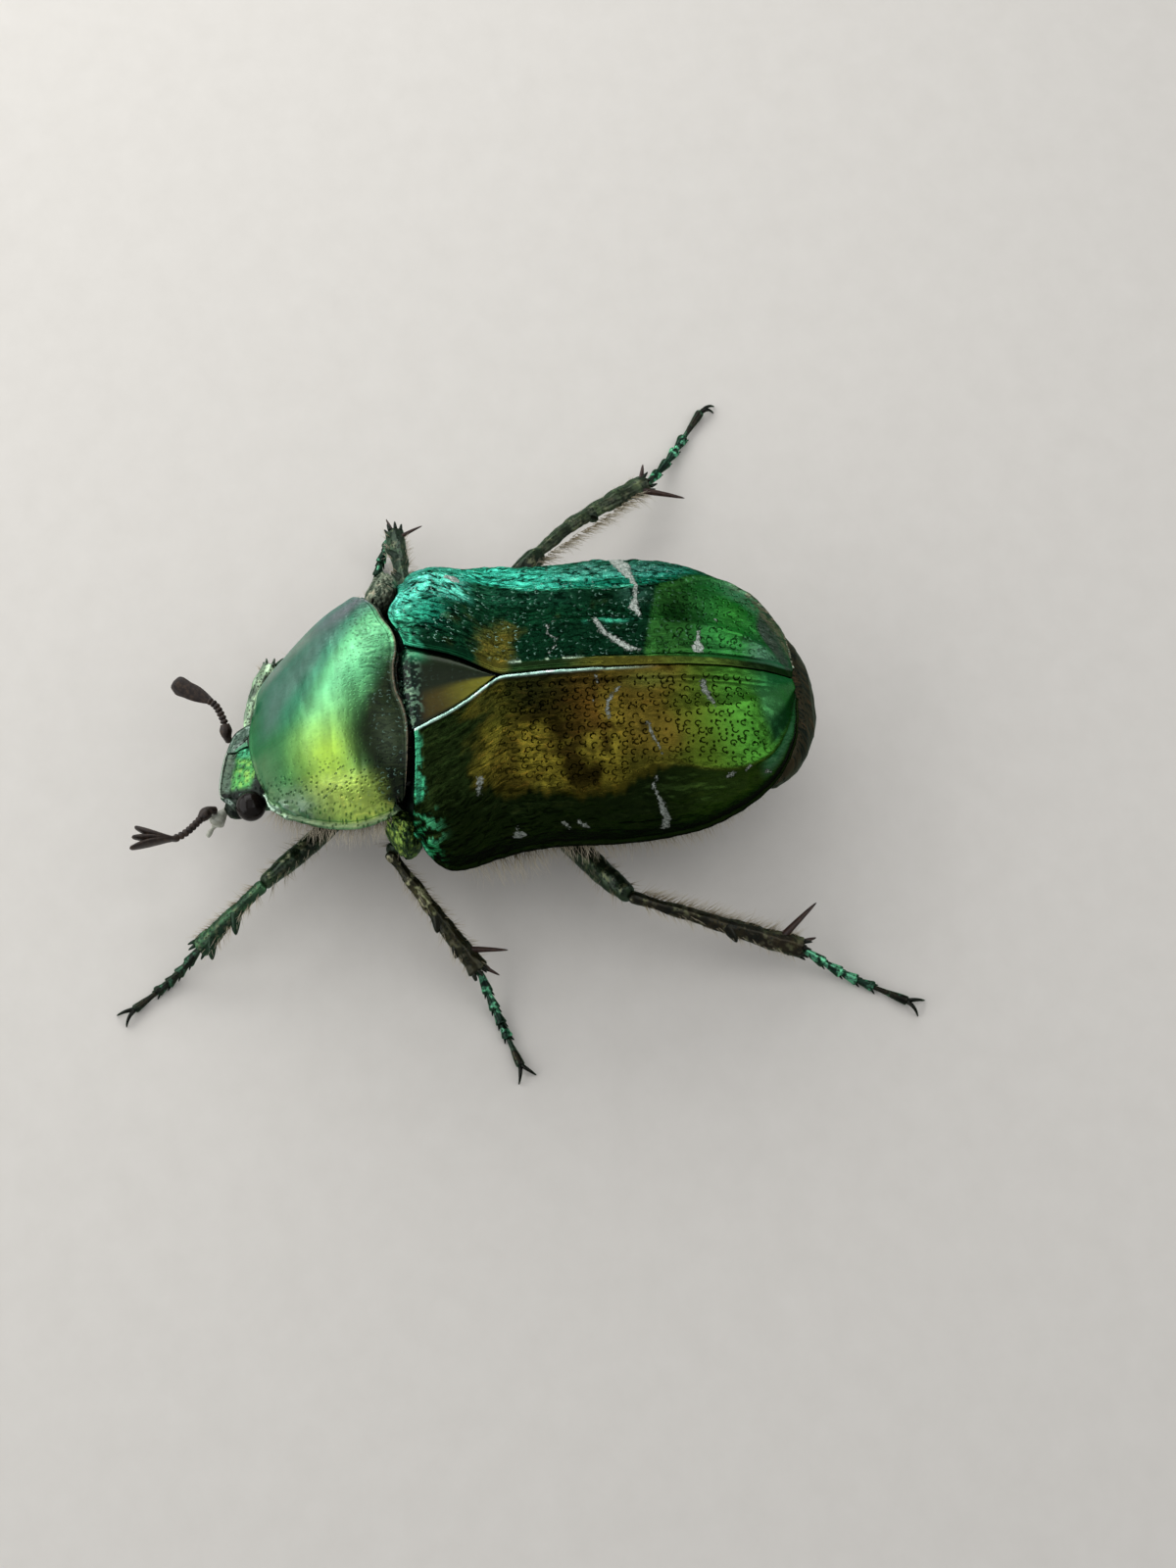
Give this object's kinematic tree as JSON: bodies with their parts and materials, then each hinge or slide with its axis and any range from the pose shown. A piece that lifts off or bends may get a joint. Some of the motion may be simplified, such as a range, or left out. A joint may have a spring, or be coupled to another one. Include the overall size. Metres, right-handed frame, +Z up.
{
  "type": "rose chafer beetle",
  "caption": "Life-size rose chafer beetle (Cetonia aurata) standing still, its left front leg reaching forward, metallic green.",
  "frame": {"origin": "centre of the bounding box, on the floor under the feet", "axes": "+Z up, +Y towards the tail, +X to the beetle's left; the head faces -Y"},
  "size_m": [0.0222, 0.0238, 0.0069],
  "materials": {
    "wing_case": "metallic green chitin with a gold-green sheen",
    "shield": "metallic yellow-green chitin",
    "underside": "dark bronze-green chitin with short pale hairs",
    "leg": "dark green-black chitin",
    "foot": "dark metallic green chitin",
    "horn": "dark brown chitin",
    "eye": "glossy black"
  },
  "bodies": {
    "root": {"abdomen": "underside", "antenna_left_club": "horn", "antenna_left_stem": "horn", "antenna_right_club": "horn", "antenna_right_stem": "horn", "elytron_left": "wing_case", "elytron_right": "wing_case", "eye_left": "eye", "eye_right": "eye", "front_left_coxa": "leg", "front_left_femur": "leg", "front_left_tarsus": "foot", "front_left_tibia": "leg", "front_right_coxa": "leg", "front_right_femur": "leg", "front_right_tarsus": "foot", "front_right_tibia": "leg", "head": "shield", "hind_left_coxa": "leg", "hind_left_femur": "leg", "hind_left_tarsus": "foot", "hind_left_tibia": "leg", "hind_right_coxa": "leg", "hind_right_femur": "leg", "hind_right_tarsus": "foot", "hind_right_tibia": "leg", "mesepimeron_left": "shield", "mesepimeron_right": "shield", "middle_left_coxa": "leg", "middle_left_femur": "leg", "middle_left_tarsus": "foot", "middle_left_tibia": "leg", "middle_right_coxa": "leg", "middle_right_femur": "leg", "middle_right_tarsus": "foot", "middle_right_tibia": "leg", "palp_left": "horn", "palp_right": "horn", "pronotum": "shield", "prothorax": "underside", "pygidium": "underside", "scutellum": "shield", "thorax": "underside"}
  },
  "joints": []
}
